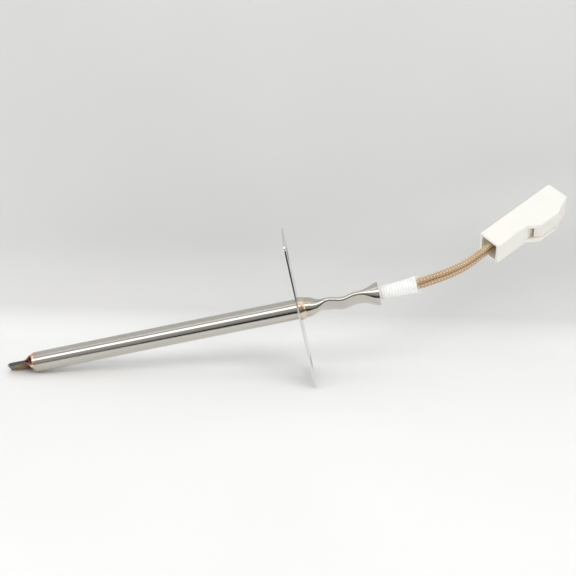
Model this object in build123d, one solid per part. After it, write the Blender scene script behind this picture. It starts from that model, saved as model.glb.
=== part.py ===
"""Oven-type temperature sensor probe: a flattened stainless sheath through a two-hole flange, with a
crimped neck, a two-wire glass-fibre lead and a two-way plug with a sprung latch.

Millimetres. +X runs along the sheath from its closed tip to the plug, +Z is up along the flange's
long side. The origin is the centre of the flange's rear face, the one that lies on the oven wall.
"""

from build123d import *
import math
import os

# Sheath: a 1/4 inch tube, closed at the tip by a flattened and trimmed blade
TUBE_R = 3.175
WALL = 0.45
SWAGE_STEP = 0.02
TIP_END_X = -92.5
TIP_WELD = 0.5
BLADE_LENGTH = 4.8
BLADE_HALF_THICKNESS = 0.5
BLADE_HALF_WIDTH = 3.2
BLADE_DROP = 0.2
BLADE_CORNER = 0.5
PRESSING_LOSS = 0.4
TIP_NECK = 3.2
NOTCH_R = 1.6
NOTCH_DEPTH = 0.4
NOTCH_LAND = 0.3
TRIM_OVERRUN = 1.0
SLIT_HALF_HEIGHT = 0.12

# Neck behind the flange: squeezed flat round the leads, with one wave, then flared to a round mouth
NECK_START_X = 1.9
FLAT_START_X = 9.1
FLAT_LENGTH = 9.7
MOUTH_X = 25.0
MOUTH_FLARE = 0.475
MOUTH_R = TUBE_R + MOUTH_FLARE
FLAT_SPREAD = 1.175
FLAT_HALF_WIDTH = TUBE_R + FLAT_SPREAD
FLAT_DROP = 0.62
WAVE_HEIGHT = 0.375
WAVE_LENGTH = 8.6
MOUTH_DROP = 0.3
CREASE_LEAD = 35.0

# The blade and the flat of the neck share one roll about the sheath's axis
ROLL = -45.0

# Flange and its weld
FLANGE_THICKNESS = 0.5
FLANGE_WIDTH = 15.0
FLANGE_LENGTH = 50.0
FLANGE_CORNER_R = 1.5
HOLE_FROM_END = 6.0
HOLE_SPACING = FLANGE_LENGTH - 2.0 * HOLE_FROM_END
HOLE_R = 2.1
WELD_THICKNESS = 0.425
WELD_R = TUBE_R + WELD_THICKNESS
WELD_LENGTH = 1.9
WELD_CREST_SHARE = 1 / 3
WELD_BROW = (0.53, 0.31)

# Sensing element, its legs and the splices
CHIP_LENGTH = 2.3
CHIP_WIDTH = 2.0
CHIP_THICKNESS = 0.9
CHIP_BEHIND_TIP = 12.0
CHIP_FRONT_X = TIP_END_X + CHIP_BEHIND_TIP
GLAZE_LENGTH = 0.8
GLAZE_ROUNDING = 0.36
LEG_R = 0.125
LEG_LENGTH = 6.0
WIRE_HALF_SPACING = 0.65
CONDUCTOR_R = 0.4
SPLICE_R = 0.55
SPLICE_LENGTH = 3.0
FILL_GAP = 0.6

# Two-bore ceramic insulators and the cement behind them
INSULATOR_COUNT = 4
INSULATORS_BEHIND_TIP = 27.5
INSULATOR_FRONT_X = TIP_END_X + INSULATORS_BEHIND_TIP
INSULATOR_REAR_X = -5.0
INSULATOR_LENGTH = (INSULATOR_REAR_X - INSULATOR_FRONT_X) / INSULATOR_COUNT
INSULATOR_CLEARANCE = 0.125
INSULATOR_R = TUBE_R - WALL - INSULATOR_CLEARANCE
INSULATOR_BORE_R = 0.45
CEMENT_LENGTH = 4.0
CONDUCTOR_END_X = 2.4

# Leads, each a braided glass-fibre wire, and the sleeve where they leave the neck
LEAD_R = 0.875
TAIL_CLEARANCE = 0.08
CRUSH = 0.355
FLAT_HALF_THICKNESS = LEAD_R - CRUSH + TAIL_CLEARANCE + WALL
HALF_GAP_BETWEEN_TAILS = 0.075
TAIL_HALF_SPACING = LEAD_R + HALF_GAP_BETWEEN_TAILS
CRUSHED_SPREAD = 0.275
CRUSHED_HALF_WIDTH = LEAD_R + CRUSHED_SPREAD
HALF_GAP_BETWEEN_CRUSHED = 0.1
CRUSHED_HALF_SPACING = CRUSHED_HALF_WIDTH + HALF_GAP_BETWEEN_CRUSHED
TAIL_END_GAP = 0.06
TAIL_OPENS_EARLY = 0.4
BEND_SHARE = 0.45
SLEEVE_SQUEEZE = 0.08
SLEEVE_END_X = 36.9
SLEEVE_WALL = 0.25
SLEEVE_NECK_EASE = 0.35
SLEEVE_NECK_R = 2.0 * LEAD_R + SLEEVE_NECK_EASE
SLEEVE_FRAY_EASE = 1.0
SLEEVE_FRAY_R = 2.0 * LEAD_R + SLEEVE_FRAY_EASE
SLEEVE_END_SIDE = 0.1

# Plug: its rear face centre, and how it is turned
PLUG_REAR = (62.0, 12.7, 1.3)
PLUG_YAW = 33.0
PLUG_PITCH = 8.0
PLUG_ROLL = 23.5
PLUG_LENGTH = 31.3
PLUG_WIDTH = 7.9
PLUG_HEIGHT = 8.3
PLUG_EDGE_R = 0.4
PLUG_NOSE_R = 0.9
ENTRY_DEPTH = 5.0
ENTRY_WALL = 1.0
GUARD_THICKNESS = 1.6
GUARD_THROUGH = 1.0
GUARD_LENGTH = 18.4
SHOULDER_FROM_FRONT = 15.0
TAPER_LENGTH = 7.2
GUARD_FROM = PLUG_LENGTH - GUARD_LENGTH
SHOULDER_X = PLUG_LENGTH - SHOULDER_FROM_FRONT
GUARD_TAPER_X = PLUG_LENGTH - TAPER_LENGTH
GUARD_OUT = 2.8
CAVITY_R = 1.45
CAVITY_HALF_SPACING = 1.8
FRONT_WALL = 1.2
PIN_ENTRY_R = 1.15
PIN_ENTRY_MOUTH_R = 1.6

# Contacts, crimped on the stripped ends of the leads
LEAD_INTO_PLUG = 8.0
STRIPPED_LENGTH = 4.5
STRAND_R = 0.45
CONTACT_START = 8.3
BARREL_R = 1.1
SOCKET_BODY_FROM_FRONT = 14.3
SOCKET_START = PLUG_LENGTH - SOCKET_BODY_FROM_FRONT
SOCKET_OUTER_R = 1.4
SOCKET_R = 1.05
SOCKET_DEPTH = 8.3
SOCKET_SLOT = 0.4
SLOT_ROOT = 1.0
COLLAR_FROM_FRONT = 11.3
COLLAR_FROM = PLUG_LENGTH - COLLAR_FROM_FRONT
COLLAR_LENGTH = 1.0

# Latch lever between the guards, on two trunnions
LATCH_SIDE_GAP = 0.2
LATCH_INSET = 0.15
PAD_RECESS = 0.7
PAD_TRAVEL_GAP = 1.0
PIVOT_FROM_FRONT = 9.8
PIVOT_X = PLUG_LENGTH - PIVOT_FROM_FRONT
PIVOT_OUT = 1.8
TRUNNION_R = 0.65
TRUNNION_DEPTH = 1.0
TRUNNION_CLEARANCE = 0.05
HOOK_FROM_FRONT = 3.7
HOOK_X = PLUG_LENGTH - HOOK_FROM_FRONT
HOOK_LENGTH = 1.2
HOOK_RAMP = 0.6
HOOK_GAP = 0.2

# Routes of the two leads' centre lines, from the neck to the crimped ends in the plug
LEAD_ROUTES = {
    "a": [
        (20.5, -0.82, 0.46),
        (28.5, -0.39, 0.77),
        (36.5, 0.10, 0.90),
        (43.2, 1.60, 1.10),
        (49.0, 3.52, 1.16),
        (54.8, 6.70, 1.38),
        (60.5, 11.25, 1.94),
        (65.52, 14.13, 3.49),
        (68.84, 16.29, 4.05),
    ],
    "b": [
        (20.5, 0.46, -0.82),
        (28.5, 0.29, -0.87),
        (36.5, 0.10, -0.88),
        (43.2, 1.55, -0.70),
        (49.0, 3.50, -0.64),
        (54.8, 6.85, -0.42),
        (60.3, 12.00, 0.15),
        (65.12, 15.58, 0.22),
        (68.45, 17.74, 0.78),
    ],
}

# Rings: points in each, how square a flattened one is, and how far apart they stand
SECTION_POINTS = 24
FLATNESS = 2.6
TIP_STEP = 0.4
NECK_STEP = 1.2
SLEEVE_STEP = 2.0
SEARCH_STEP = 0.1


def ease(x, start, end):
    """0 before start, 1 after end, and smooth between them."""
    t = min(max((x - start) / (end - start), 0.0), 1.0)
    return t * t * (3.0 - 2.0 * t)


def mix(first, second, share):
    return first + (second - first) * share


def squashed_ring(x, half_width, half_height, side=0.0, lift=0.0, twist=0.0):
    """A closed curve across the tube: a circle when both halves are equal, else a flattened one."""
    straight = half_width - half_height
    points = []
    for i in range(SECTION_POINTS):
        angle = 2.0 * math.pi * i / SECTION_POINTS
        spread = math.tanh(FLATNESS * math.cos(angle)) / math.tanh(FLATNESS)
        y = side + half_height * math.cos(angle) + straight * spread
        z = half_height * math.sin(angle)
        turned_y = y * math.cos(twist) - z * math.sin(twist)
        turned_z = y * math.sin(twist) + z * math.cos(twist)
        points.append((x, turned_y, turned_z + lift))
    return Wire(Spline(*points, periodic=True))


def lofted(rings):
    return loft([Face(ring) for ring in rings])


def stations(start, end, step):
    """Evenly spaced places from start to end, about a step apart."""
    count = max(2, round(abs(end - start) / step))
    return [mix(start, end, i / count) for i in range(count + 1)]


def rolled(shape):
    return Rot(X=ROLL) * shape


def rod(radius, start_x, end_x, y=0.0, z=0.0):
    """A round bar along X."""
    bar = Cylinder(radius, abs(end_x - start_x), rotation=(0, 90, 0))
    return Pos((start_x + end_x) / 2, y, z) * bar


def funnel(start_r, end_r, start_x, end_x, z):
    """A cone along X."""
    return Pos((start_x + end_x) / 2, 0, z) * Cone(start_r, end_r, end_x - start_x, rotation=(0, 90, 0))


def block(start, end):
    """A box between two opposite corners."""
    size = [abs(b - a) for a, b in zip(start, end)]
    centre = [(a + b) / 2 for a, b in zip(start, end)]
    return Pos(*centre) * Box(*size)


def save(name, shape):
    shape.label = name
    export_step(shape, f"parts/{name}.step")


# ---- Neck: one family of rings gives the outside, the cavity and the crushed leads ----

FLAT_END_X = FLAT_START_X + FLAT_LENGTH


def neck_flatness(x):
    return ease(x, NECK_START_X, FLAT_START_X) * (1.0 - ease(x, FLAT_END_X, MOUTH_X))


def neck_lift(x):
    """How far the neck's middle stands above the axis: a drop with one wave in it."""
    phase = min(max((x - FLAT_START_X) / WAVE_LENGTH, 0.0), 1.0)
    wave = WAVE_HEIGHT * math.cos(2.0 * math.pi * phase)
    mouth = MOUTH_DROP * ease(x, FLAT_END_X, MOUTH_X)
    return neck_flatness(x) * (wave - FLAT_DROP) - mouth


def neck_twist(x):
    return math.radians(CREASE_LEAD) * (1.0 - ease(x, NECK_START_X, FLAT_START_X))


def neck_half_height(x):
    round_r = mix(TUBE_R - SWAGE_STEP, MOUTH_R, ease(x, FLAT_END_X, MOUTH_X))
    return mix(round_r, FLAT_HALF_THICKNESS, neck_flatness(x))


def neck_ring(x, inset):
    round_r = mix(TUBE_R - SWAGE_STEP, MOUTH_R, ease(x, FLAT_END_X, MOUTH_X))
    half_width = mix(round_r, FLAT_HALF_WIDTH, neck_flatness(x)) - inset
    half_height = neck_half_height(x) - inset
    return squashed_ring(x, half_width, half_height, 0.0, neck_lift(x), neck_twist(x))


# ---- Tip: the tube closes to a blade, and the sides of the blade are trimmed to width ----

BLADE_START_X = TIP_END_X + TIP_WELD + BLADE_LENGTH
TIP_NECK_X = BLADE_START_X + TIP_NECK
FULL_BLADE_HALF_WIDTH = math.pi * TUBE_R / 2.0 - PRESSING_LOSS
BLADE_END_X = TIP_END_X + TIP_WELD


def tip_ring(x, inset, least_half_height):
    squash = ease(x, TIP_NECK_X, BLADE_START_X)
    round_r = TUBE_R - SWAGE_STEP
    half_width = mix(round_r, FULL_BLADE_HALF_WIDTH, squash) - inset
    half_height = max(mix(round_r, BLADE_HALF_THICKNESS, squash) - inset, least_half_height)
    return squashed_ring(x, half_width, half_height, 0.0, -BLADE_DROP * squash)


def tip_trim():
    """What the press cuts from both sides of the blade, with a round notch at its root."""
    tall = 4.0 * TUBE_R
    far = 3.0 * TUBE_R
    cuts = []
    notch_x = TIP_NECK_X - NOTCH_R - NOTCH_LAND
    for side in (1, -1):
        edge = side * BLADE_HALF_WIDTH
        strip = block((TIP_END_X - TRIM_OVERRUN, edge, -tall / 2), (notch_x, side * far, tall / 2))
        notch_y = edge + side * (NOTCH_R - NOTCH_DEPTH)
        notch = Pos(notch_x, notch_y, 0) * Cylinder(NOTCH_R, tall)
        cuts += [strip, notch]
        corner = Pos(BLADE_END_X, edge, 0) * Box(
            BLADE_CORNER * math.sqrt(2), BLADE_CORNER * math.sqrt(2), tall, rotation=(0, 0, 45)
        )
        cuts.append(corner)
    return cuts


def make_sheath():
    tube = rod(TUBE_R, TIP_NECK_X, -FLANGE_THICKNESS)
    tip_stations = stations(TIP_NECK_X, BLADE_START_X, TIP_STEP)
    tip = lofted([tip_ring(x, 0.0, 0.0) for x in tip_stations])
    blade = lofted([tip_ring(x, 0.0, 0.0) for x in (BLADE_START_X, BLADE_END_X)])
    neck = lofted([neck_ring(x, 0.0) for x in neck_stations()])
    bore = rod(TUBE_R - WALL, TIP_NECK_X, -FLANGE_THICKNESS)
    slit = lofted([tip_ring(x, WALL, SLIT_HALF_HEIGHT) for x in tip_stations])
    throat = neck_cavity()
    metal = tube + tip + blade + neck
    for hollow in [bore, slit, throat] + tip_trim():
        metal -= hollow
    return rolled(metal)


def neck_stations():
    return stations(-FLANGE_THICKNESS, MOUTH_X, NECK_STEP)


def neck_cavity():
    return lofted([neck_ring(x, WALL) for x in neck_stations()])


def make_tip_weld():
    """The bead that seals the end of the blade."""
    outline = Polyline(
        (BLADE_END_X, BLADE_HALF_THICKNESS - BLADE_DROP),
        (BLADE_END_X, -BLADE_HALF_THICKNESS - BLADE_DROP),
    )
    nose = ThreePointArc(
        (BLADE_END_X, BLADE_HALF_THICKNESS - BLADE_DROP),
        (TIP_END_X, -BLADE_DROP),
        (BLADE_END_X, -BLADE_HALF_THICKNESS - BLADE_DROP),
    )
    profile = Plane.XZ * make_face(outline + nose)
    half_length = BLADE_HALF_WIDTH - BLADE_CORNER
    return rolled(extrude(profile, amount=half_length, both=True))


# ---- Flange ----


def make_flange():
    face = RectangleRounded(FLANGE_WIDTH, FLANGE_LENGTH, FLANGE_CORNER_R)
    face -= Circle(WELD_R)
    for side in (1, -1):
        face -= Pos(0, side * HOLE_SPACING / 2) * Circle(HOLE_R)
    return extrude(Plane.YZ * face, amount=-FLANGE_THICKNESS)


def make_flange_weld():
    """The ring of weld metal that fills the flange's hole and stands up behind it."""
    crest_x = WELD_LENGTH * WELD_CREST_SHARE
    foot = Polyline(
        (WELD_LENGTH, TUBE_R),
        (-FLANGE_THICKNESS, TUBE_R),
        (-FLANGE_THICKNESS, WELD_R),
        (crest_x, WELD_R),
    )
    middle = (mix(crest_x, WELD_LENGTH, WELD_BROW[0]), mix(WELD_R, TUBE_R, WELD_BROW[1]))
    brow = ThreePointArc((crest_x, WELD_R), middle, (WELD_LENGTH, TUBE_R))
    profile = Plane.XZ * make_face(foot + brow)
    return revolve(profile, axis=Axis.X)


# ---- Inside the sheath ----

CHIP_REAR_X = CHIP_FRONT_X + CHIP_LENGTH
LEG_START_X = CHIP_REAR_X
SPLICE_X = LEG_START_X + LEG_LENGTH
CONDUCTOR_START_X = SPLICE_X + SPLICE_LENGTH / 2


def make_chip():
    half = (CHIP_WIDTH / 2, CHIP_THICKNESS / 2)
    return block((CHIP_FRONT_X, -half[0], -half[1]), (CHIP_REAR_X, half[0], half[1]))


def make_leg(side):
    return rod(LEG_R, LEG_START_X, SPLICE_X + SPLICE_LENGTH / 2, side * WIRE_HALF_SPACING)


def make_glaze():
    """The drop of glass over the legs' roots, on the chip's rear edge."""
    half_width = CHIP_WIDTH / 2
    half_height = CHIP_THICKNESS / 2
    drop = block(
        (CHIP_REAR_X, -half_width, -half_height),
        (CHIP_REAR_X + GLAZE_LENGTH, half_width, half_height),
    )
    rear_edges = drop.faces().sort_by(Axis.X)[-1].edges()
    rounded = fillet(rear_edges, GLAZE_ROUNDING)
    return rounded - [make_leg(1), make_leg(-1)]


def make_splice(side):
    y = side * WIRE_HALF_SPACING
    body = rod(SPLICE_R, SPLICE_X, SPLICE_X + SPLICE_LENGTH, y)
    return body - make_leg(side) - rod(CONDUCTOR_R, CONDUCTOR_START_X, SPLICE_X + SPLICE_LENGTH, y)


def make_conductor(side):
    return rod(CONDUCTOR_R, CONDUCTOR_START_X, CONDUCTOR_END_X, side * WIRE_HALF_SPACING)


def make_insulator(index):
    start = INSULATOR_FRONT_X + index * INSULATOR_LENGTH
    body = rod(INSULATOR_R, start, start + INSULATOR_LENGTH)
    bores = [
        rod(INSULATOR_BORE_R, start, start + INSULATOR_LENGTH, side * WIRE_HALF_SPACING) for side in (1, -1)
    ]
    return body - bores


def make_powder():
    """Packed ceramic powder round the chip and the splices."""
    packed = rod(TUBE_R - WALL, CHIP_FRONT_X - FILL_GAP, INSULATOR_FRONT_X)
    inside = [make_chip(), make_glaze()]
    for side in (1, -1):
        inside += [make_leg(side), make_splice(side), make_conductor(side)]
    return packed - inside


def make_cement():
    """The cement that holds the insulators, just in front of the flange."""
    plug = rod(TUBE_R - WALL, INSULATOR_REAR_X, INSULATOR_REAR_X + CEMENT_LENGTH)
    return plug - [make_conductor(1), make_conductor(-1)]


# ---- Leads ----


def unrolled(point):
    """A point's y and z before the blade and the neck are rolled."""
    turn = math.radians(-ROLL)
    y = point[1] * math.cos(turn) - point[2] * math.sin(turn)
    z = point[1] * math.sin(turn) + point[2] * math.cos(turn)
    return y, z


def make_lead_tail(side, route):
    """The stretch of a lead inside the neck, crushed where the neck is flat."""
    end_x = route[0][0] - TAIL_END_GAP
    end_y, end_z = unrolled(route[0])
    rings = []
    for x in stations(CONDUCTOR_END_X, end_x, NECK_STEP):
        entering = ease(x, CONDUCTOR_END_X, FLAT_START_X)
        leaving = ease(x, FLAT_END_X - TAIL_OPENS_EARLY, end_x)
        flat = entering * (1.0 - leaving)
        crushed_half_height = FLAT_HALF_THICKNESS - WALL - TAIL_CLEARANCE
        half_width = mix(LEAD_R, CRUSHED_HALF_WIDTH, flat)
        half_height = mix(LEAD_R, crushed_half_height, flat)
        start_y = side * mix(TAIL_HALF_SPACING, CRUSHED_HALF_SPACING, entering)
        y = mix(start_y, end_y, leaving)
        z = mix(neck_lift(x), end_z, leaving)
        rings.append(squashed_ring(x, half_width, half_height, y, z, neck_twist(x)))
    return rolled(lofted(rings))


def route_radii(route):
    """Each corner's radius: a share of its shorter run, over the tangent of half the turn."""
    radii = []
    for before, corner, after in zip(route, route[1:], route[2:]):
        run_in = Vector(*corner) - Vector(*before)
        run_out = Vector(*after) - Vector(*corner)
        half_turn = math.radians(run_in.get_angle(run_out)) / 2.0
        radii.append(BEND_SHARE * min(run_in.length, run_out.length) / math.tan(half_turn))
    return radii


def make_lead(name, route):
    radii = route_radii(route)
    path = FilletPolyline(*route, radius=radii)
    run_in = Vector(*route[1]) - Vector(*route[0])
    section = Plane(origin=route[0], z_dir=run_in) * Circle(LEAD_R)
    tube = sweep(section, path=path)
    print(
        f"lead_{name}: length {path.length:.1f} mm, radii {[round(r, 1) for r in radii]}, "
        f"volume over section times length {tube.volume / (math.pi * LEAD_R**2 * path.length):.4f}"
    )
    return tube


def mouth_room(x):
    return neck_half_height(x) - WALL - (SLEEVE_NECK_R - SLEEVE_SQUEEZE)


def sleeve_start():
    """Where the opening mouth of the neck first has room for the sleeve's snug end."""
    room = [x for x in stations(FLAT_END_X, MOUTH_X, SEARCH_STEP) if mouth_room(x) >= 0.0]
    return min(room)


def make_sleeve():
    """The woven sleeve over both leads, tight at the neck and frayed wider at its free end."""
    first = LEAD_ROUTES["a"][0]
    partner = LEAD_ROUTES["b"][0]
    start = ((first[1] + partner[1]) / 2, (first[2] + partner[2]) / 2)
    start_x = sleeve_start()
    outer = []
    inner = []
    for x in stations(start_x, SLEEVE_END_X, SLEEVE_STEP):
        along = (x - start_x) / (SLEEVE_END_X - start_x)
        y = mix(start[0], SLEEVE_END_SIDE, along)
        z = mix(start[1], 0.0, along)
        radius = mix(SLEEVE_NECK_R, SLEEVE_FRAY_R, along * along)
        outer.append(squashed_ring(x, radius, radius, y, z))
        inner.append(squashed_ring(x, radius - SLEEVE_WALL, radius - SLEEVE_WALL, y, z))
    return lofted(outer) - lofted(inner)


# ---- Plug, built along X from its rear face, then placed ----

PLUG_PLACE = Location(PLUG_REAR) * Rot(Z=PLUG_YAW) * Rot(Y=-PLUG_PITCH) * Rot(X=PLUG_ROLL)
NEAR_SIDE_Y = -PLUG_WIDTH / 2
GUARD_GAP = PLUG_HEIGHT - 2 * GUARD_THICKNESS
LATCH_HALF_HEIGHT = GUARD_GAP / 2 - LATCH_SIDE_GAP
PIVOT = (PIVOT_X, NEAR_SIDE_Y - PIVOT_OUT)
SOCKET_END = PLUG_LENGTH - FRONT_WALL


def softened(body):
    """The moulding's rounded edges: the front corner behind the guards' side, then both rims."""
    front = body.faces().sort_by(Axis.X)[-1]
    body = fillet(front.edges().filter_by(Axis.Z).sort_by(Axis.Y)[-1], PLUG_NOSE_R)
    rims = body.faces().sort_by(Axis.Z)[-1].edges() + body.faces().sort_by(Axis.Z)[0].edges()
    return fillet(rims, PLUG_EDGE_R)


def make_housing():
    body = block((0, -PLUG_WIDTH / 2, -PLUG_HEIGHT / 2), (PLUG_LENGTH, PLUG_WIDTH / 2, PLUG_HEIGHT / 2))
    outline = Polyline(
        (GUARD_FROM, NEAR_SIDE_Y + GUARD_THROUGH),
        (GUARD_FROM, NEAR_SIDE_Y),
        (SHOULDER_X, NEAR_SIDE_Y - GUARD_OUT),
        (GUARD_TAPER_X, NEAR_SIDE_Y - GUARD_OUT),
        (PLUG_LENGTH, NEAR_SIDE_Y),
        (PLUG_LENGTH, NEAR_SIDE_Y + GUARD_THROUGH),
        close=True,
    )
    guard = extrude(make_face(outline), amount=GUARD_THICKNESS)
    body += Pos(0, 0, PLUG_HEIGHT / 2 - GUARD_THICKNESS) * guard
    body += Pos(0, 0, -PLUG_HEIGHT / 2) * guard
    body = softened(body)
    half_width = PLUG_WIDTH / 2 - ENTRY_WALL
    half_height = PLUG_HEIGHT / 2 - ENTRY_WALL
    body -= block((0, -half_width, -half_height), (ENTRY_DEPTH, half_width, half_height))
    for side in (1, -1):
        z = side * CAVITY_HALF_SPACING
        body -= rod(CAVITY_R, ENTRY_DEPTH, SOCKET_END, 0, z)
        body -= funnel(PIN_ENTRY_R, PIN_ENTRY_MOUTH_R, SOCKET_END, PLUG_LENGTH, z)
        depth = GUARD_GAP / 2 + TRUNNION_DEPTH + TRUNNION_CLEARANCE
        on_its_end = (Align.CENTER, Align.CENTER, Align.MIN)
        hole = Cylinder(TRUNNION_R + TRUNNION_CLEARANCE, depth, align=on_its_end)
        body -= Pos(PIVOT[0], PIVOT[1], 0) * Rot(X=0 if side > 0 else 180) * hole
    return PLUG_PLACE * body


def latch_outline():
    """The lever in plan: finger pad at the rear, pivot amidships and hook at the front."""
    inner_y = NEAR_SIDE_Y - PAD_TRAVEL_GAP
    outer_y = NEAR_SIDE_Y - GUARD_OUT + LATCH_INSET
    shoulder_slope = (SHOULDER_X - GUARD_FROM) / GUARD_OUT
    pad_x = GUARD_FROM + PAD_RECESS * math.hypot(1.0, shoulder_slope)
    taper_slope = GUARD_OUT / (PLUG_LENGTH - GUARD_TAPER_X)
    hook_outer_y = NEAR_SIDE_Y - taper_slope * (PLUG_LENGTH - HOOK_X) + LATCH_INSET
    hook_inner_y = NEAR_SIDE_Y - HOOK_GAP
    return Polyline(
        (pad_x + shoulder_slope * PAD_TRAVEL_GAP, inner_y),
        (pad_x + shoulder_slope * (GUARD_OUT - LATCH_INSET), outer_y),
        (GUARD_TAPER_X, outer_y),
        (HOOK_X, hook_outer_y),
        (HOOK_X, hook_inner_y),
        (HOOK_X - HOOK_LENGTH, hook_inner_y),
        (HOOK_X - HOOK_LENGTH - HOOK_RAMP, inner_y),
        close=True,
    )


def make_latch():
    lever = extrude(make_face(latch_outline()), amount=LATCH_HALF_HEIGHT, both=True)
    trunnion_reach = GUARD_GAP / 2 + TRUNNION_DEPTH
    lever += Pos(PIVOT[0], PIVOT[1], 0) * Cylinder(TRUNNION_R, 2 * trunnion_reach)
    return PLUG_PLACE * lever


def make_contact(side):
    z = side * CAVITY_HALF_SPACING
    metal = rod(BARREL_R, CONTACT_START, SOCKET_START, 0, z)
    metal += rod(SOCKET_OUTER_R, SOCKET_START, SOCKET_END, 0, z)
    metal += rod(CAVITY_R, COLLAR_FROM, COLLAR_FROM + COLLAR_LENGTH, 0, z)
    metal -= rod(SOCKET_R, SOCKET_END - SOCKET_DEPTH, SOCKET_END, 0, z)
    metal -= rod(STRAND_R, CONTACT_START, LEAD_INTO_PLUG + STRIPPED_LENGTH, 0, z)
    slot_start = (SOCKET_END - SOCKET_DEPTH + SLOT_ROOT, -SOCKET_SLOT / 2, z)
    slot_end = (SOCKET_END, SOCKET_SLOT / 2, z + side * CAVITY_R)
    metal -= block(slot_start, slot_end)
    return PLUG_PLACE * metal


def make_strand(side):
    z = side * CAVITY_HALF_SPACING
    return PLUG_PLACE * rod(STRAND_R, LEAD_INTO_PLUG, LEAD_INTO_PLUG + STRIPPED_LENGTH, 0, z)


def main():
    os.makedirs("parts", exist_ok=True)
    save("sheath", make_sheath())
    save("tip_weld", make_tip_weld())
    save("flange", make_flange())
    save("flange_weld", make_flange_weld())
    save("sensing_chip", make_chip())
    save("chip_glaze", make_glaze())
    save("powder_fill", make_powder())
    save("cement_plug", make_cement())
    for index in range(INSULATOR_COUNT):
        save(f"insulator_{index + 1}", make_insulator(index))
    save("outer_sleeve", make_sleeve())
    save("plug_housing", make_housing())
    save("plug_latch", make_latch())
    for name, side in (("a", 1), ("b", -1)):
        route = LEAD_ROUTES[name]
        save(f"element_leg_{name}", make_leg(side))
        save(f"splice_{name}", make_splice(side))
        save(f"conductor_{name}", make_conductor(side))
        save(f"lead_tail_{name}", make_lead_tail(-side, route))
        save(f"lead_{name}", make_lead(name, route))
        save(f"strand_{name}", make_strand(side))
        save(f"contact_{name}", make_contact(side))


main()
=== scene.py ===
"""Looks of the temperature sensor probe: a camera, soft light and finished surfaces round the CAD frame.

Metres, in the CAD model's own frame: +X from the sheath's tip towards the plug, +Z up along the flange,
and the origin at the centre of the flange's rear face.
"""

import math
import random

import bmesh
import bpy
from mathutils import Matrix, Vector


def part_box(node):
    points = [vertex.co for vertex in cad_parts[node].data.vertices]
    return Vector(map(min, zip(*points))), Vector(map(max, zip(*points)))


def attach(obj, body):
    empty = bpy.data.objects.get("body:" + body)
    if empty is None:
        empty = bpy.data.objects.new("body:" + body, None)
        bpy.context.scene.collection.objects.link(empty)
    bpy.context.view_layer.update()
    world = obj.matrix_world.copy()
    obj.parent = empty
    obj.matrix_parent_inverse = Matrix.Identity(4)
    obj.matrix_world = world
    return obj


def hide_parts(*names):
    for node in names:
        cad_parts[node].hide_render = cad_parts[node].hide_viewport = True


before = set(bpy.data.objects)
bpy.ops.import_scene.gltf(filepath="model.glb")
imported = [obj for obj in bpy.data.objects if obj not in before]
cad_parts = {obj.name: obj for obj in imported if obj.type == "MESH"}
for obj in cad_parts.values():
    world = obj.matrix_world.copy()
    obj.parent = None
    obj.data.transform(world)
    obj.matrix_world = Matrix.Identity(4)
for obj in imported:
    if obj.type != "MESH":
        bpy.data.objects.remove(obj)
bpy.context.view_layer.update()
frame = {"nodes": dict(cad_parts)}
BODY = "probe"
MM = 0.001

# ---- Camera: in front of the flange and a little above, rolled so that the sheath runs uphill ----

CAMERA_AZIMUTH = math.radians(2.65)
CAMERA_ELEVATION = math.radians(25.7)
CAMERA_ROLL = math.radians(12.63)
CAMERA_DISTANCE = 451.2 * MM
FLANGE_RIGHT_OF_CENTRE = 3.61 * MM
FLANGE_ABOVE_CENTRE = -6.40 * MM
SENSOR_WIDTH = 36.0
LENS = 90.92
CLIP_START = 10.0 * MM


def placed(name, data):
    """A new object with that data, in the scene."""
    made = bpy.data.objects.new(name, data)
    bpy.context.collection.objects.link(made)
    return made


def camera_axes():
    """Right, up and forward of the camera, as unit vectors in the CAD frame."""
    forward = Vector((
        -math.sin(CAMERA_AZIMUTH) * math.cos(CAMERA_ELEVATION),
        math.cos(CAMERA_AZIMUTH) * math.cos(CAMERA_ELEVATION),
        -math.sin(CAMERA_ELEVATION),
    ))
    level = Vector((math.cos(CAMERA_AZIMUTH), math.sin(CAMERA_AZIMUTH), 0.0))
    upright = level.cross(forward)
    right = math.cos(CAMERA_ROLL) * level - math.sin(CAMERA_ROLL) * upright
    up = math.sin(CAMERA_ROLL) * level + math.cos(CAMERA_ROLL) * upright
    return right, up, forward


def make_camera():
    right, up, forward = camera_axes()
    place = -(right * FLANGE_RIGHT_OF_CENTRE + up * FLANGE_ABOVE_CENTRE + forward * CAMERA_DISTANCE)
    data = bpy.data.cameras.new("camera")
    data.lens = LENS
    data.sensor_width = SENSOR_WIDTH
    data.clip_start = CLIP_START
    camera = placed("camera", data)
    turn = Matrix((right, up, -forward)).transposed().to_4x4()
    camera.matrix_world = Matrix.Translation(place) @ turn
    bpy.context.scene.camera = camera


# ---- Node helpers ----

OCCLUSION_SAMPLES = 8
BEVEL_SAMPLES = 6
NOISE_LOW, NOISE_HIGH = 0.3, 0.7  # noise seldom leaves this range
MIX_COLOUR_A, MIX_COLOUR_B, MIX_COLOUR_OUT = 6, 7, 2  # a Mix node's sockets for colours


def fill_ramp(node, stops):
    """Gives a colour ramp its stops, each a position and a colour."""
    elements = node.color_ramp.elements
    while len(elements) < len(stops):
        elements.new(0.5)
    for element, (position, colour) in zip(elements, stops):
        element.position = position
        element.color = (*colour, 1.0)


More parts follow.
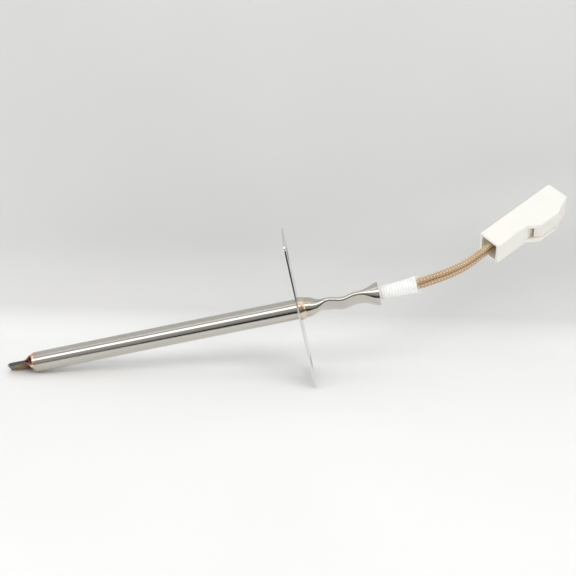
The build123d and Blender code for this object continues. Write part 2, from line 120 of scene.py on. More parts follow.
class Shader:
    """A node material being built: a Principled shader and short calls for what feeds it."""

    def __init__(self, name, **sockets):
        self.material = bpy.data.materials.new(name)
        self.material.use_nodes = True
        self.nodes = self.material.node_tree.nodes
        self.links = self.material.node_tree.links
        self.surface = self.nodes["Principled BSDF"]
        for socket, value in sockets.items():
            self.set(socket.replace("_", " ").title(), value)
        self.coordinates = self.node("ShaderNodeTexCoord").outputs["Object"]

    def node(self, kind, **settings):
        made = self.nodes.new(kind)
        for key, value in settings.items():
            setattr(made, key, value)
        return made

    def set(self, socket, value):
        self.surface.inputs[socket].default_value = value

    def feed(self, target, source):
        """Gives a socket a number, a colour or another node's output."""
        if isinstance(source, float):
            target.default_value = source
        elif isinstance(source, tuple):
            target.default_value = (*source, 1.0)
        else:
            self.links.new(source, target)

    def stretched(self, scale):
        mapping = self.node("ShaderNodeMapping")
        mapping.inputs["Scale"].default_value = scale
        self.links.new(self.coordinates, mapping.inputs["Vector"])
        return mapping.outputs["Vector"]

    def noise(self, scale, detail=3.0, roughness=0.5):
        """Noise whose cells are 1/scale of a metre. Scale is one number, or one for each axis."""
        if isinstance(scale, float):
            scale = (scale, scale, scale)
        texture = self.node("ShaderNodeTexNoise")
        texture.inputs["Scale"].default_value = 1.0
        texture.inputs["Detail"].default_value = detail
        texture.inputs["Roughness"].default_value = roughness
        self.links.new(self.stretched(scale), texture.inputs["Vector"])
        return texture.outputs["Fac"]

    def ramp(self, factor, stops):
        ramp = self.node("ShaderNodeValToRGB")
        fill_ramp(ramp, stops)
        self.links.new(factor, ramp.inputs["Fac"])
        return ramp.outputs["Color"]

    def span(self, value, low, high, to_low=0.0, to_high=1.0):
        """value from low..high to to_low..to_high, clamped."""
        spread = self.node("ShaderNodeMapRange")
        self.links.new(value, spread.inputs["Value"])
        limits = {"From Min": low, "From Max": high, "To Min": to_low, "To Max": to_high}
        for socket, number in limits.items():
            spread.inputs[socket].default_value = number
        return spread.outputs["Result"]

    def by_noise(self, noise, to_low=0.0, to_high=1.0):
        return self.span(noise, NOISE_LOW, NOISE_HIGH, to_low, to_high)

    def math(self, operation, first, second=0.0):
        node = self.node("ShaderNodeMath", operation=operation)
        self.feed(node.inputs[0], first)
        self.feed(node.inputs[1], second)
        return node.outputs["Value"]

    def mix(self, factor, first, second):
        """The first colour where factor is 0 and the second where it is 1."""
        node = self.node("ShaderNodeMix", data_type="RGBA")
        self.feed(node.inputs["Factor"], factor)
        self.feed(node.inputs[MIX_COLOUR_A], first)
        self.feed(node.inputs[MIX_COLOUR_B], second)
        return node.outputs[MIX_COLOUR_OUT]

    def axis(self, letter):
        split = self.node("ShaderNodeSeparateXYZ")
        self.links.new(self.coordinates, split.inputs["Vector"])
        return split.outputs[letter]

    def attribute(self, name):
        return self.node("ShaderNodeAttribute", attribute_name=name).outputs["Fac"]

    def occlusion_shade(self, distance):
        """Ambient occlusion, used for painted shade: 1 in the open, towards 0 in a recess."""
        occlusion = self.node("ShaderNodeAmbientOcclusion", samples=OCCLUSION_SAMPLES)
        occlusion.inputs["Distance"].default_value = distance
        return occlusion.outputs["AO"]

    def colour(self, source):
        self.links.new(source, self.surface.inputs["Base Color"])

    def rough(self, source):
        self.links.new(source, self.surface.inputs["Roughness"])

    def bump(self, height, distance, strength=1.0, edge=None):
        bump = self.node("ShaderNodeBump")
        bump.inputs["Distance"].default_value = distance
        bump.inputs["Strength"].default_value = strength
        self.links.new(height, bump.inputs["Height"])
        if edge:
            self.links.new(self.soft_edge(edge), bump.inputs["Normal"])
        self.links.new(bump.outputs["Normal"], self.surface.inputs["Normal"])

    def soft_edge(self, radius):
        bevel = self.node("ShaderNodeBevel", samples=BEVEL_SAMPLES)
        bevel.inputs["Radius"].default_value = radius
        return bevel.outputs["Normal"]


# ---- Materials ----

# Places on the object that a colour follows, from part.py
TIP_END_X = -92.5 * MM
NOTCH_X = -85.9 * MM
NOTCH_OUT = 4.4 * MM
NOTCH_R = 1.6 * MM
HOLE_OUT = 19.0 * MM
HOLE_R = 2.1 * MM

# Heat tint of the tip: full up to TINT_FULL_X and gone at TINT_END_X, its bands wandering a little
TINT_FULL_X = -84.2 * MM
TINT_END_X = -80.0 * MM
TINT_WANDER = 0.5 * MM
# Painted shade: dark long edges of the blade, between these distances from its middle, up to where the
# blade ends
EDGE_SHADE_FROM, EDGE_SHADE_TO = 2.2 * MM, 3.1 * MM
EDGE_SHADE_FULL_X, EDGE_SHADE_END_X = -86.6 * MM, -85.6 * MM
# Rings round the notch: its wall and rim darkened as painted shade, then a copper heat tint on the side
# away from the tip, partly real tint and partly a painted highlight
NOTCH_SHADE_FADE = 0.15 * MM
LIP_TINT_HIGHLIGHT_FROM, LIP_TINT_HIGHLIGHT_TO = 0.5 * MM, 0.8 * MM
LIP_TINT_HIGHLIGHT_STRENGTH = 0.9
REAR_FROM, REAR_TO = -0.6 * MM, 0.4 * MM
# Straw colour that the weld leaves on the tube, round WARM_X
WARM_X = 1.5 * MM
WARM_FULL, WARM_END = 0.5 * MM, 5.0 * MM
WARM_STRENGTH = 0.6
# Painted shade: a dark ring round each bolt hole, with the hole's wall dark too
HOLE_SHADE_FROM, HOLE_SHADE_TO = 0.3 * MM, 0.6 * MM

SOFT_SHEET_EDGE = 0.06 * MM
SOFT_NYLON_EDGE = 0.28 * MM
NYLON_SHADE_REACH = 2.2 * MM
STREAK_LENGTHWISE = 22.0


def drawn_streaks(shader, fineness=2600.0):
    """The long fine lines that drawing leaves along a tube."""
    return shader.noise((STREAK_LENGTHWISE, fineness, fineness))


def darker(tone, share):
    return tuple(c * share for c in tone)


def from_line(shader, first, second):
    """Distance from a line, given a point's two distances from it as sockets."""
    squares = [shader.math("POWER", distance, 2.0) for distance in (first, second)]
    return shader.math("SQRT", shader.math("ADD", *squares))


def across_blade(shader):
    """How far a point lies from the middle of the blade, which is turned by 45 degrees."""
    turned = shader.math("SUBTRACT", shader.axis("Y"), shader.axis("Z"))
    return shader.math("ABSOLUTE", shader.math("MULTIPLY", turned, math.sqrt(0.5)))


def stainless():
    shader = Shader("drawn_stainless", metallic=1.0)
    streaks = drawn_streaks(shader)
    mottle = shader.noise((90.0, 260.0, 260.0))
    steel = shader.ramp(streaks, [(0.25, (0.54, 0.52, 0.48)), (0.75, (0.60, 0.58, 0.54))])
    steel = shader.mix(shader.span(mottle, 0.35, 0.7, 0.0, 0.3), steel, (0.60, 0.56, 0.50))
    along = shader.axis("X")
    wander = shader.by_noise(shader.noise(500.0, 2.0), -TINT_WANDER, TINT_WANDER)
    place = shader.math("ADD", along, wander)
    tint = shader.ramp(
        shader.span(place, TIP_END_X, TINT_END_X),
        [
            (0.02, (0.15, 0.19, 0.21)),
            (0.08, (0.30, 0.24, 0.17)),
            (0.24, (0.66, 0.48, 0.26)),
            (0.36, (0.58, 0.38, 0.22)),
            (0.46, (0.16, 0.15, 0.16)),
            (0.56, (0.30, 0.27, 0.25)),
            (0.66, (0.58, 0.49, 0.40)),
            (1.0, (0.56, 0.54, 0.49)),
        ],
    )
    steel = shader.mix(shader.span(along, TINT_FULL_X, TINT_END_X, 1.0, 0.0), steel, tint)
    # Painted shade: the blade's long edges are coloured near black.
    across = across_blade(shader)
    edge = shader.span(across, EDGE_SHADE_FROM, EDGE_SHADE_TO)
    on_blade = shader.span(along, EDGE_SHADE_FULL_X, EDGE_SHADE_END_X, 1.0, 0.0)
    steel = shader.mix(shader.math("MULTIPLY", edge, on_blade), steel, (0.045, 0.05, 0.055))
    past_notch = shader.math("SUBTRACT", along, NOTCH_X)
    lip = from_line(shader, past_notch, shader.math("SUBTRACT", across, NOTCH_OUT))
    # Painted shade: the notch's wall and rim are coloured dark brown.
    notch_shade = shader.span(lip, NOTCH_R, NOTCH_R + NOTCH_SHADE_FADE, 1.0, 0.0)
    lip_tint_highlight = shader.span(lip, NOTCH_R + LIP_TINT_HIGHLIGHT_FROM, NOTCH_R + LIP_TINT_HIGHLIGHT_TO, LIP_TINT_HIGHLIGHT_STRENGTH, 0.0)
    rear_side = shader.span(past_notch, REAR_FROM, REAR_TO)
    # Copper lip tint kept to the side away from the tip: partly real heat tint, partly painted
    # highlight.
    steel = shader.mix(shader.math("MULTIPLY", lip_tint_highlight, rear_side), steel, (0.98, 0.66, 0.48))
    steel = shader.mix(notch_shade, steel, (0.20, 0.08, 0.05))
    from_weld = shader.math("ABSOLUTE", shader.math("SUBTRACT", along, WARM_X))
    warmth = shader.span(from_weld, WARM_FULL, WARM_END, WARM_STRENGTH, 0.0)
    steel = shader.mix(warmth, steel, (0.60, 0.52, 0.39))
    shader.colour(steel)
    shader.rough(shader.by_noise(streaks, 0.135, 0.175))
    shader.bump(streaks, 0.002 * MM, 0.2)
    return shader.material


def bright_sheet():
    shader = Shader("rolled_sheet", metallic=1.0)
    grain = shader.noise((400.0, 3200.0, 26.0), 4.0, 0.6)
    stain = shader.noise((60.0, 60.0, 45.0))
    base = shader.ramp(grain, [(0.3, (0.66, 0.67, 0.68)), (0.7, (0.80, 0.81, 0.82))])
    sheet = shader.mix(shader.span(stain, 0.45, 0.75, 0.0, 0.3), base, (0.62, 0.60, 0.58))
    past_hole = shader.math("SUBTRACT", shader.math("ABSOLUTE", shader.axis("Z")), HOLE_OUT)
    from_hole = from_line(shader, shader.axis("Y"), past_hole)
    # Painted shade: each bolt hole's wall and a thin ring round it are coloured near black.
    ring = shader.span(from_hole, HOLE_R + HOLE_SHADE_FROM, HOLE_R + HOLE_SHADE_TO, 1.0, 0.0)
    shader.colour(shader.mix(ring, sheet, (0.16, 0.16, 0.17)))
    shader.rough(shader.by_noise(grain, 0.13, 0.24))
    shader.bump(grain, 0.01 * MM, 0.3, SOFT_SHEET_EDGE)
    return shader.material


def straw_weld():
    shader = Shader("straw_weld", metallic=1.0)
    patches = shader.noise(420.0, 2.0)
    stops = [(0.30, (0.66, 0.62, 0.55)), (0.50, (0.74, 0.65, 0.48)), (0.68, (0.36, 0.28, 0.19))]
    shader.colour(shader.ramp(patches, stops))
    ripple = shader.noise((700.0, 900.0, 900.0), 2.0)
    shader.rough(shader.by_noise(ripple, 0.12, 0.3))
    shader.bump(ripple, 0.12 * MM, 0.5)
    return shader.material


def blue_weld():
    shader = Shader("blue_grey_weld", metallic=1.0)
    patches = shader.noise(900.0)
    stops = [(0.3, (0.13, 0.16, 0.17)), (0.6, (0.25, 0.28, 0.28)), (0.8, (0.36, 0.33, 0.26))]
    shader.colour(shader.ramp(patches, stops))
    shader.rough(shader.by_noise(patches, 0.25, 0.5))
    shader.bump(patches, 0.15 * MM, 0.6)
    return shader.material


def moulded_nylon(name, tone):
    shader = Shader(name, subsurface_weight=0.25, subsurface_scale=0.8 * MM)
    shader.set("Subsurface Radius", (1.0, 0.75, 0.45))
    cloud = shader.noise(160.0)
    # Painted shade: recesses found by ambient occlusion turn warm beige, the shaded and bounce-lit look
    # of the nylon's hollows.
    outside_painted_shade = shader.span(shader.occlusion_shade(NYLON_SHADE_REACH), 0.2, 0.75)
    body = shader.mix(shader.by_noise(cloud), tone, darker(tone, 0.975))
    shader.colour(shader.mix(outside_painted_shade, (0.97, 0.83, 0.64), body))
    grain = shader.noise(5200.0, 2.0)
    shader.rough(shader.by_noise(grain, 0.33, 0.46))
    shader.bump(grain, 0.015 * MM, 0.4, SOFT_NYLON_EDGE)
    return shader.material


def woven_glass():
    shader = Shader("woven_glass_fibre", roughness=0.62, sheen_weight=0.25, sheen_roughness=0.4)
    height = shader.attribute("height")
    yarn = shader.noise((900.0, 9000.0, 9000.0))
    # Painted shade: grey in the weave's grooves, where the height is low, and on the sleeve's inside,
    # lightening to white on the crowns.
    stops = [(0.0, (0.60, 0.59, 0.55)), (0.3, (0.90, 0.90, 0.88)), (1.0, (0.98, 0.98, 0.97))]
    base = shader.ramp(height, stops)
    shader.colour(shader.mix(shader.span(yarn, 0.35, 0.7, 0.0, 0.15), base, (0.86, 0.86, 0.84)))
    shader.bump(yarn, 0.05 * MM, 0.6)
    return shader.material


def varnished_braid():
    shader = Shader("varnished_braid", roughness=0.4, coat_weight=0.5, coat_roughness=0.22)
    height = shader.attribute("height")
    lane = shader.attribute("lane")
    fibres = shader.noise((2600.0, 7800.0, 7800.0))
    blotch = shader.noise(240.0, 2.0)
    # Painted light and shade: darker towards the gaps between strands, lighter on the pillow tops, and
    # one family of strands painted lit while the other is painted shaded.
    gap_shade = (0.10, 0.05, 0.02)
    lit_way = shader.ramp(height, [(0.0, gap_shade), (0.45, (0.42, 0.26, 0.12)), (1.0, (0.84, 0.64, 0.42))])
    shaded_way = shader.ramp(height, [(0.0, gap_shade), (0.45, (0.30, 0.18, 0.08)), (1.0, (0.58, 0.40, 0.22))])
    braid = shader.mix(lane, lit_way, shaded_way)
    braid = shader.mix(shader.span(blotch, 0.4, 0.7, 0.0, 0.15), braid, (0.80, 0.62, 0.44))
    shader.colour(shader.mix(shader.span(fibres, 0.45, 0.8, 0.0, 0.2), braid, (0.93, 0.78, 0.60)))
    shader.bump(fibres, 0.04 * MM, 0.5)
    return shader.material


def fired_ceramic(name, tone, roughness, grain_depth):
    shader = Shader(name, roughness=roughness)
    grain = shader.noise(3000.0, 4.0)
    shader.colour(shader.mix(shader.by_noise(grain), tone, darker(tone, 0.88)))
    shader.bump(grain, grain_depth, 0.5)
    return shader.material


def drawn_wire(name, tone, roughness):
    shader = Shader(name, metallic=1.0)
    streaks = drawn_streaks(shader, 5000.0)
    shader.colour(shader.mix(shader.by_noise(streaks), tone, darker(tone, 0.82)))
    shader.rough(shader.by_noise(streaks, roughness, roughness + 0.15))
    shader.bump(streaks, 0.01 * MM, 0.4)
    return shader.material


# ---- Shapes along a path ----

SPLINE_RESOLUTION = 24
SHORTEST_RUN = 1e-12
PILLOW_LOW, PILLOW_SWELL = 0.62, 0.38


def spline_points(name, route):
    """A smooth line through the route's own spline, as a list of points."""
    data = bpy.data.curves.new(name, "CURVE")
    data.dimensions = "3D"
    spline = data.splines.new("NURBS")
    spline.points.add(len(route) - 1)
    for point, place in zip(spline.points, route):
        point.co = (*place, 1.0)
    spline.order_u = 3
    spline.use_endpoint_u = True
    spline.resolution_u = SPLINE_RESOLUTION
    carrier = bpy.data.objects.new(name, data)
    mesh = bpy.data.meshes.new_from_object(carrier)
    points = [v.co.copy() for v in mesh.vertices]
    bpy.data.objects.remove(carrier)
    bpy.data.curves.remove(data)
    bpy.data.meshes.remove(mesh)
    return points


def evenly(points, step):
    """The same line with its points evenly spaced, and its length."""
    lengths = [0.0]
    for before, after in zip(points, points[1:]):
        lengths.append(lengths[-1] + (after - before).length)
    count = max(2, round(lengths[-1] / step))
    spaced = []
    index = 0
    for i in range(count + 1):
        want = lengths[-1] * i / count
        while index < len(points) - 2 and lengths[index + 1] < want:
            index += 1
        run = max(lengths[index + 1] - lengths[index], SHORTEST_RUN)
        spaced.append(points[index].lerp(points[index + 1], (want - lengths[index]) / run))
    return spaced, lengths[-1]


def carried_frames(points):
    """A side and an up vector at each point, turned as little as possible on the way."""
    frames = []
    up = Vector((0.0, 0.0, 1.0))
    for i in range(len(points)):
        ahead = (points[min(i + 1, len(points) - 1)] - points[max(i - 1, 0)]).normalized()
        side = ahead.cross(up).normalized()
        up = side.cross(ahead).normalized()
        frames.append((side, up))
    return frames


def weave(across, along):
    """Height and lane of a braid where two families of strands cross: one pillow per crossing."""
    column = math.floor(across)
    row = math.floor(along)
    lane = (column + row) % 2
    wide, long = (across - column, along - row) if lane else (along - row, across - column)
    pillow = math.sqrt(max(0.0, 1.0 - (2.0 * wide - 1.0) ** 2))
    return pillow * (PILLOW_LOW + PILLOW_SWELL * math.sin(math.pi * long)), float(lane)


def smooth(mesh):
    for polygon in mesh.polygons:
        polygon.use_smooth = True


def link_piece(name, mesh, material):
    """A piece of the object that is only in Blender, riding on the CAD body."""
    piece = placed(name, mesh)
    mesh.materials.append(material)
    smooth(mesh)
    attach(piece, BODY)
    return piece


def label_points(mesh, label, values):
    """Stores one number for each point of the mesh, for a material to read."""
    layer = mesh.attributes.new(label, "FLOAT", "POINT")
    layer.data.foreach_set("value", values)


def skin(name, rings, heights, lanes, closed_ends=True):
    """A mesh over rings of points, with each point's height and lane in the weave."""
    mesh = bpy.data.meshes.new(name)
    count = len(rings[0])
    vertices = [p for ring in rings for p in ring]
    faces = []
    for i in range(len(rings) - 1):
        for j in range(count):
            k = (j + 1) % count
            faces.append((i * count + j, i * count + k, (i + 1) * count + k, (i + 1) * count + j))
    if closed_ends:
        faces.append(tuple(reversed(range(count))))
        faces.append(tuple(range((len(rings) - 1) * count, len(rings) * count)))
    mesh.from_pydata(vertices, [], faces)
    label_points(mesh, "height", heights)
    label_points(mesh, "lane", lanes)
    mesh.update()
    return mesh


# ---- Leads ----

LEAD_DIAMETER = 1.75 * MM
BRAID_DEPTH = 0.12 * MM
BRAID_STRANDS = 6
BRAID_PITCH = 6.4 * MM
LEAD_SIDES = 48
LEAD_STEP = 0.11 * MM

# The same points as part.py's LEAD_ROUTES
LEAD_ROUTES_MM = {
    "lead_a": [
        (20.5, -0.82, 0.46),
        (28.5, -0.39, 0.77),
        (36.5, 0.10, 0.90),
        (43.2, 1.60, 1.10),
        (49.0, 3.52, 1.16),
        (54.8, 6.70, 1.38),
        (60.5, 11.25, 1.94),
        (65.52, 14.13, 3.49),
        (68.84, 16.29, 4.05),
    ],
    "lead_b": [
        (20.5, 0.46, -0.82),
        (28.5, 0.29, -0.87),
        (36.5, 0.10, -0.88),
        (43.2, 1.55, -0.70),
        (49.0, 3.50, -0.64),
        (54.8, 6.85, -0.42),
        (60.3, 12.00, 0.15),
        (65.12, 15.58, 0.22),
        (68.45, 17.74, 0.78),
    ],
}


def make_lead(node, material, turn):
    """One braided lead, a tube whose surface is the braid itself: the piece, its path and its length."""
    route = [tuple(c * MM for c in point) for point in LEAD_ROUTES_MM[node]]
    path, length = evenly(spline_points(node + "_line", route), LEAD_STEP)
    rings, heights, lanes = [], [], []
    for i, (centre, (side, up)) in enumerate(zip(path, carried_frames(path))):
        travelled = length * i / (len(path) - 1)
        ring = []
        for j in range(LEAD_SIDES):
            angle = 2.0 * math.pi * j / LEAD_SIDES
            share = BRAID_STRANDS * (angle / (2.0 * math.pi) + turn)
            advance = BRAID_STRANDS * travelled / BRAID_PITCH
            height, lane = weave(share + advance, share - advance)
            radius = LEAD_DIAMETER / 2.0 - BRAID_DEPTH * (1.0 - height)
            ring.append(centre + radius * (math.cos(angle) * side + math.sin(angle) * up))
            heights.append(height)
            lanes.append(lane)
        rings.append(ring)
    name = node + "_braid"
    piece = link_piece(name, skin(name, rings, heights, lanes), material)
    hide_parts(node)
    return piece, path, length


# ---- Woven sleeve, and the loose ends of its yarns ----

RIB_PITCH = 0.86 * MM
RIB_DEPTH = 0.16 * MM
RIB_SLANT = 0.35
RIB_ROUNDNESS = 0.7
SLEEVE_YARNS = 18
YARN_LOW, YARN_SWELL, YARN_ROUNDNESS = 0.75, 0.25, 0.6
YARN_DRIFT, YARN_DRIFT_TURNS = 0.15, 5.0
RAGGED_BY, RAGGED_WAVES, RAGGED_PHASE, RAGGED_POWER = 0.18 * MM, 7.0, 1.0, 6
SLEEVE_SIDES = 144
SLEEVE_STEP = 0.09 * MM
SLEEVE_WALL = 0.22 * MM
SLEEVE_NECK_R = 2.1 * MM
SLEEVE_FRAY_R = 2.75 * MM
SLEEVE_NECK_YZ = (-0.18 * MM, -0.18 * MM)
SLEEVE_FREE_YZ = (0.1 * MM, 0.0)
INNER_SHADE_HEIGHT = 0.2
MERGE_WITHIN = 1e-8


def sleeve_line():
    """The middle of the sleeve at its neck and at its free end. Their X comes from the CAD solid."""
    low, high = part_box("outer_sleeve")
    return Vector((low[0], *SLEEVE_NECK_YZ)), Vector((high[0], *SLEEVE_FREE_YZ))


def sleeve_radius(along):
    return SLEEVE_NECK_R + (SLEEVE_FRAY_R - SLEEVE_NECK_R) * along * along


def sleeve_surface(along, share, length):
    """Radius of the ribbed surface and height of its weave, at a share of the way along and round."""
    rib = along * length / RIB_PITCH + RIB_SLANT * share
    yarn = SLEEVE_YARNS * share + YARN_DRIFT * math.sin(YARN_DRIFT_TURNS * along)
    crown = abs(math.sin(math.pi * rib))
    strand = abs(math.sin(math.pi * yarn))
    height = crown ** RIB_ROUNDNESS * (YARN_LOW + YARN_SWELL * strand ** YARN_ROUNDNESS)
    wave = math.sin(RAGGED_WAVES * 2.0 * math.pi * share + RAGGED_PHASE)
    ragged = RAGGED_BY * along ** RAGGED_POWER * wave
    return sleeve_radius(along) - RIB_DEPTH * (1.0 - height) + ragged, height


def ring_across(centre, radii):
    """Points round the centre, square to X, one at each radius."""
    ring = []
    for j, radius in enumerate(radii):
        angle = 2.0 * math.pi * j / len(radii)
        ring.append(centre + radius * Vector((0.0, math.cos(angle), math.sin(angle))))
    return ring


def make_sleeve(material):
    """The ribbed sleeve, with a wall's thickness and both ends open."""
    neck, free = sleeve_line()
    length = (free - neck).length
    count = round(length / SLEEVE_STEP)
    rings, heights = [], []
    for i in range(count + 1):
        along = i / count
        surface = [sleeve_surface(along, j / SLEEVE_SIDES, length) for j in range(SLEEVE_SIDES)]
        rings.append(ring_across(neck.lerp(free, along), [radius for radius, _ in surface]))
        heights += [height for _, height in surface]
    for along, centre in ((1.0, free), (0.0, neck)):
        inner = sleeve_radius(along) - RIB_DEPTH - SLEEVE_WALL
        rings.append(ring_across(centre, [inner] * SLEEVE_SIDES))
        heights += [INNER_SHADE_HEIGHT] * SLEEVE_SIDES
    rings.append(rings[0])
    heights += heights[:SLEEVE_SIDES]
    lanes = [0.0] * len(heights)
    mesh = skin("sleeve_weave", rings, heights, lanes, closed_ends=False)
    tidy = bmesh.new()
    tidy.from_mesh(mesh)
    bmesh.ops.remove_doubles(tidy, verts=tidy.verts, dist=MERGE_WITHIN)
    bmesh.ops.recalc_face_normals(tidy, faces=tidy.faces)
    tidy.to_mesh(mesh)
    tidy.free()
    piece = link_piece("sleeve_weave", mesh, material)
    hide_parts("outer_sleeve")
    return piece


FIBRE_SEED = 11
FIBRE_COUNT = 150
FIBRE_R = 0.045 * MM
FIBRE_THINNING = 0.6
FIBRE_SIDES = 5
FIBRE_STEPS = 7
FIBRE_HEIGHT = 0.7
# Each fibre draws these: how far inside the end and the surface it starts, its length, and how it bends
FIBRE_SETBACK_MM = (0.3, 1.6)
FIBRE_SINK_MM = (0.1, 0.5)
FIBRE_REACH_MM = (0.6, 1.9)
FIBRE_SPREAD = (-0.05, 0.32)
FIBRE_DRIFT = (-0.35, 0.35)


def make_fray(material):
    """Loose yarn ends standing out of the sleeve's free end."""
    chance = random.Random(FIBRE_SEED)
    free = sleeve_line()[1]
    ahead = Vector((1.0, 0.0, 0.0))
    vertices, faces, heights = [], [], []
    for _ in range(FIBRE_COUNT):
        angle = chance.uniform(0.0, 2.0 * math.pi)
        outward = Vector((0.0, math.cos(angle), math.sin(angle)))
        around = Vector((0.0, -math.sin(angle), math.cos(angle)))
        root = free - Vector((chance.uniform(*FIBRE_SETBACK_MM) * MM, 0.0, 0.0))
        root += outward * (SLEEVE_FRAY_R - chance.uniform(*FIBRE_SINK_MM) * MM)
        reach = chance.uniform(*FIBRE_REACH_MM) * MM
        spread = chance.uniform(*FIBRE_SPREAD)
        drift = chance.uniform(*FIBRE_DRIFT)
        first = len(vertices)
        for step in range(FIBRE_STEPS):
            t = step / (FIBRE_STEPS - 1)
            centre = root + reach * (t * ahead + t * t * (spread * outward + drift * around))
            thick = FIBRE_R * (1.0 - FIBRE_THINNING * t)
            for side in range(FIBRE_SIDES):
                turn = 2.0 * math.pi * side / FIBRE_SIDES
                vertices.append(centre + thick * (math.cos(turn) * outward + math.sin(turn) * around))
                heights.append(FIBRE_HEIGHT)
        for step in range(FIBRE_STEPS - 1):
            for side in range(FIBRE_SIDES):
                a = first + step * FIBRE_SIDES + side
                b = first + step * FIBRE_SIDES + (side + 1) % FIBRE_SIDES
                faces.append((a, b, b + FIBRE_SIDES, a + FIBRE_SIDES))
        last = first + (FIBRE_STEPS - 1) * FIBRE_SIDES
        faces.append(tuple(range(first + FIBRE_SIDES - 1, first - 1, -1)))
        faces.append(tuple(range(last, last + FIBRE_SIDES)))
    mesh = bpy.data.meshes.new("sleeve_fray")
    mesh.from_pydata(vertices, [], faces)
    label_points(mesh, "height", heights)
    mesh.update()
    return link_piece("sleeve_fray", mesh, material)


# ---- Dressing the CAD nodes ----


def dress(node, material):
    piece = frame["nodes"][node]
    piece.data.materials.clear()
    piece.data.materials.append(material)


def dress_all():
    """Gives every CAD node its material. Returns the leads' braid, for the woven leads too."""
    ceramic = fired_ceramic("white_ceramic", (0.90, 0.89, 0.85), 0.55, 0.03 * MM)
    powder = fired_ceramic("ceramic_powder", (0.84, 0.81, 0.74), 0.9, 0.08 * MM)
    glaze = fired_ceramic("glass_drop", (0.72, 0.80, 0.76), 0.15, 0.01 * MM)
    nickel = drawn_wire("nickel_wire", (0.66, 0.63, 0.57), 0.25)
    tinned = drawn_wire("tinned_contact", (0.74, 0.70, 0.60), 0.28)
    braid = varnished_braid()
    looks = {
        "sheath": stainless(),
        "tip_weld": blue_weld(),
        "flange": bright_sheet(),
        "flange_weld": straw_weld(),
        "sensing_chip": ceramic,
        "chip_glaze": glaze,
        "powder_fill": powder,
        "cement_plug": powder,
        "plug_housing": moulded_nylon("ivory_nylon", (0.93, 0.92, 0.87)),
        "plug_latch": moulded_nylon("ivory_nylon_latch", (0.92, 0.90, 0.85)),
    }
    for number in range(1, 5):
        looks[f"insulator_{number}"] = ceramic
    for side in "ab":
        for node in ("element_leg", "splice", "conductor", "strand"):
            looks[f"{node}_{side}"] = nickel
        looks[f"contact_{side}"] = tinned
        looks[f"lead_tail_{side}"] = braid
    for node, material in looks.items():
        dress(node, material)
    return braid


# ---- Stage: a pale sweep under and behind, soft light from above and in front ----

FLOOR_TILT = math.radians(14.6)
FLOOR_DROP = 25.3 * MM
SWEEP_AT = 22.0 * MM
SWEEP_R = 25.0 * MM
SWEEP_HALF_WIDTH = 0.9
SWEEP_FRONT = -0.9
SWEEP_TOP = 0.9
SWEEP_STEPS = 12
WALL_SHADE_FROM, WALL_SHADE_FULL = 0.1 * MM, 5.0 * MM


def make_sweep():
    """A floor that the flange's foot and the tip rest on, curving up into a backdrop."""
    profile = [(SWEEP_FRONT, 0.0), (SWEEP_AT, 0.0)]
    for i in range(1, SWEEP_STEPS + 1):
        angle = math.radians(90.0) * i / SWEEP_STEPS
        profile.append((SWEEP_AT + SWEEP_R * math.sin(angle), SWEEP_R * (1.0 - math.cos(angle))))
    profile.append((SWEEP_AT + SWEEP_R, SWEEP_TOP))
    vertices = []
    for x in (-SWEEP_HALF_WIDTH, SWEEP_HALF_WIDTH):
        vertices += [(x, y, z) for y, z in profile]
    count = len(profile)
    faces = [(i, count + i, count + i + 1, i + 1) for i in range(count - 1)]
    mesh = bpy.data.meshes.new("sweep")
    mesh.from_pydata(vertices, [], faces)
    smooth(mesh)
    sweep = placed("sweep", mesh)
    lowered = Matrix.Translation((0.0, 0.0, -FLOOR_DROP))
    sweep.matrix_world = lowered @ Matrix.Rotation(FLOOR_TILT, 4, "Y")
    shader = Shader("pale_paper", roughness=0.8)
    cloud = shader.noise(7.0, 2.0)
    floor_tone = shader.ramp(cloud, [(0.3, (0.88, 0.885, 0.88)), (0.7, (0.93, 0.935, 0.93))])
    # Painted shade: the backdrop is a darker grey than the floor, the shade of a wall under light from
    # above.
    wall_shade_tone = shader.ramp(cloud, [(0.3, (0.69, 0.695, 0.69)), (0.7, (0.74, 0.74, 0.735))])
    into_wall_shade = shader.span(shader.axis("Z"), WALL_SHADE_FROM, WALL_SHADE_FULL)
    shader.colour(shader.mix(into_wall_shade, floor_tone, wall_shade_tone))
    show_front_only(shader)
    mesh.materials.append(shader.material)


def show_front_only(shader):
    """Makes the back of a surface clear, so that the sweep hides nothing in views from behind."""
    see_through = shader.node("ShaderNodeBsdfTransparent")
    back = shader.node("ShaderNodeNewGeometry")
    blend = shader.node("ShaderNodeMixShader")
    shader.links.new(back.outputs["Backfacing"], blend.inputs["Fac"])
    shader.links.new(shader.surface.outputs["BSDF"], blend.inputs[1])
    shader.links.new(see_through.outputs["BSDF"], blend.inputs[2])
    output = next(n for n in shader.nodes if n.type == "OUTPUT_MATERIAL")
    shader.links.new(blend.outputs["Shader"], output.inputs["Surface"])


FLAG_AT = -66.0 * MM
FLAG_TOP = 5.0 * MM
FLAG_HALF_WIDTH = 0.3


def make_flag():
    """A low black card in front of the object, there only for the metal to reflect."""
    foot = -FLOOR_DROP
    corners = [
        (-FLAG_HALF_WIDTH, FLAG_AT, foot),
        (FLAG_HALF_WIDTH, FLAG_AT, foot),
        (FLAG_HALF_WIDTH, FLAG_AT, FLAG_TOP),
        (-FLAG_HALF_WIDTH, FLAG_AT, FLAG_TOP),
    ]
    mesh = bpy.data.meshes.new("flag")
    mesh.from_pydata(corners, [], [(0, 1, 2, 3)])
    flag = placed("flag", mesh)
    shader = Shader("black_card", roughness=0.9)
    felt = shader.noise(900.0, 2.0)
    shader.colour(shader.ramp(felt, [(0.3, (0.01, 0.01, 0.01)), (0.7, (0.02, 0.02, 0.02))]))
    mesh.materials.append(shader.material)
    flag.visible_camera = False
    flag.visible_diffuse = False
    flag.visible_transmission = False
    flag.visible_shadow = False


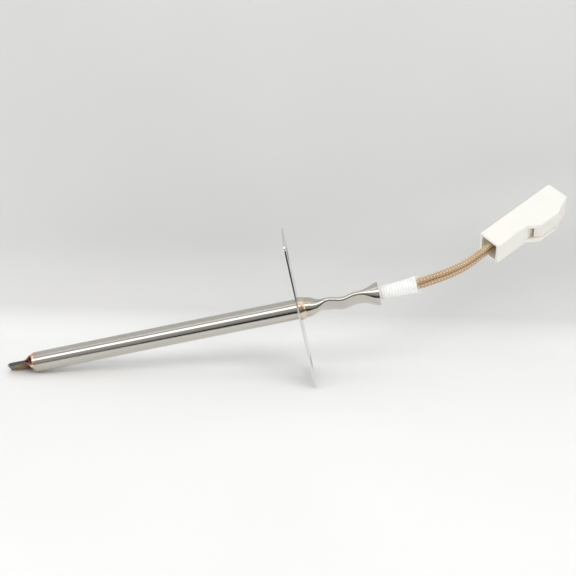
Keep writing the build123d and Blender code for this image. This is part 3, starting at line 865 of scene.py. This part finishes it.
WHITE = (1.0, 1.0, 1.0)
# Name, direction and distance from the origin, size, watts and tint
LAMPS = [
    ("strip", (0.0, -0.57, 0.82), 0.75, (1.6, 0.25), 2.7, (1.0, 0.985, 0.96)),
    ("overhead", (0.1, 0.25, 1.0), 0.9, (1.2, 0.8), 2.1, WHITE),
    ("right_fill", (0.85, -0.40, 0.50), 0.9, (0.6, 0.6), 1.5, (1.0, 0.98, 0.96)),
    ("left_fill", (-0.85, -0.30, 0.55), 0.9, (0.6, 0.6), 1.0, WHITE),
]


def make_lamp(name, direction, distance, size, watts, tint):
    """A rectangular soft light that faces the origin from that direction."""
    data = bpy.data.lights.new(name, "AREA")
    data.shape = "RECTANGLE"
    data.size, data.size_y = size
    data.energy = watts
    data.color = tint
    lamp = placed(name, data)
    away = Vector(direction).normalized()
    turn = away.to_track_quat("Z", "Y").to_matrix().to_4x4()
    lamp.matrix_world = Matrix.Translation(away * distance) @ turn


# The room's grey from straight down, 0, to straight up, 1
ROOM_TONES = [(0.0, 0.78), (0.45, 0.70), (0.5, 0.34), (0.56, 0.30), (0.64, 0.40), (1.0, 0.62)]
ROOM_BLUE = 1.01


def make_world():
    """A soft room: pale below like the floor, mid grey above, and darkest just over the horizon."""
    world = bpy.data.worlds.new("room")
    world.use_nodes = True
    bpy.context.scene.world = world
    nodes, links = world.node_tree.nodes, world.node_tree.links
    background = nodes["Background"]
    coordinates = nodes.new("ShaderNodeTexCoord")
    split = nodes.new("ShaderNodeSeparateXYZ")
    links.new(coordinates.outputs["Generated"], split.inputs["Vector"])
    ramp = nodes.new("ShaderNodeValToRGB")
    fill_ramp(ramp, [(position, (tone, tone, tone * ROOM_BLUE)) for position, tone in ROOM_TONES])
    spread = nodes.new("ShaderNodeMapRange")
    spread.inputs["From Min"].default_value = -1.0
    links.new(split.outputs["Z"], spread.inputs["Value"])
    links.new(spread.outputs["Result"], ramp.inputs["Fac"])
    links.new(ramp.outputs["Color"], background.inputs["Color"])
    background.inputs["Strength"].default_value = 1.0


def make_stage():
    make_sweep()
    make_flag()
    make_world()
    for lamp in LAMPS:
        make_lamp(*lamp)
    view = bpy.context.scene.view_settings
    view.view_transform = "Standard"
    view.look = "None"


def main():
    make_camera()
    braid = dress_all()
    weave_material = woven_glass()
    lead_a, path_a, length_a = make_lead("lead_a", braid, 0.0)
    lead_b, path_b, length_b = make_lead("lead_b", braid, 0.04)
    sleeve = make_sleeve(weave_material)
    fray = make_fray(weave_material)
    nodes = frame["nodes"]
    on_the_leads = [sleeve, fray, nodes["plug_housing"], nodes["plug_latch"]]
    on_the_leads += [nodes[f"{kind}_{side}"] for kind in ("contact", "strand") for side in "ab"]
    make_stage()


main()
